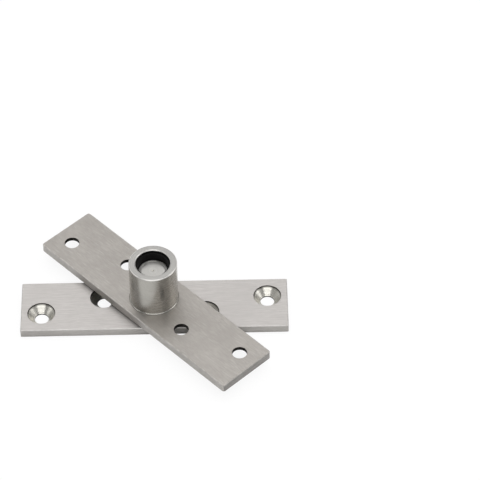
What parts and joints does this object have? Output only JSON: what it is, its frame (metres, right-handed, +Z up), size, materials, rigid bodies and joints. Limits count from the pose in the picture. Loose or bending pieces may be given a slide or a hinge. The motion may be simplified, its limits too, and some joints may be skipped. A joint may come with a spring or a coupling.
{
  "type": "pivot door hinge",
  "caption": "Pivot door hinge: a base plate with a fixed pin and a crossed swing plate whose open barrel turns on it, with countersunk screw holes.",
  "frame": {"origin": "on the pivot axis, at the underside of the base plate", "axes": "+X along the base plate, +Y across it, +Z up along the pivot pin"},
  "size_m": [0.125, 0.1108, 0.033],
  "materials": {
    "base_steel": "satin, brushed along its length",
    "swing_steel": "satin, brushed along its length",
    "turned_steel": "fine turned",
    "washer_brass": "plain rolled",
    "bush_lining": "steel strip with a dark dry-running lining"
  },
  "bodies": {
    "base": {"base_plate": "base_steel", "pivot_pin": "turned_steel", "thrust_washer": "washer_brass"},
    "leaf": {"swing_plate": "swing_steel", "barrel": "turned_steel", "bearing_bush": "bush_lining"}
  },
  "joints": [
    {"name": "leaf_swing", "type": "hinge", "parent": "base", "child": "leaf", "pos_m": [0, 0, 0.0053], "axis": [0, 0, 1], "continuous": true}
  ]
}
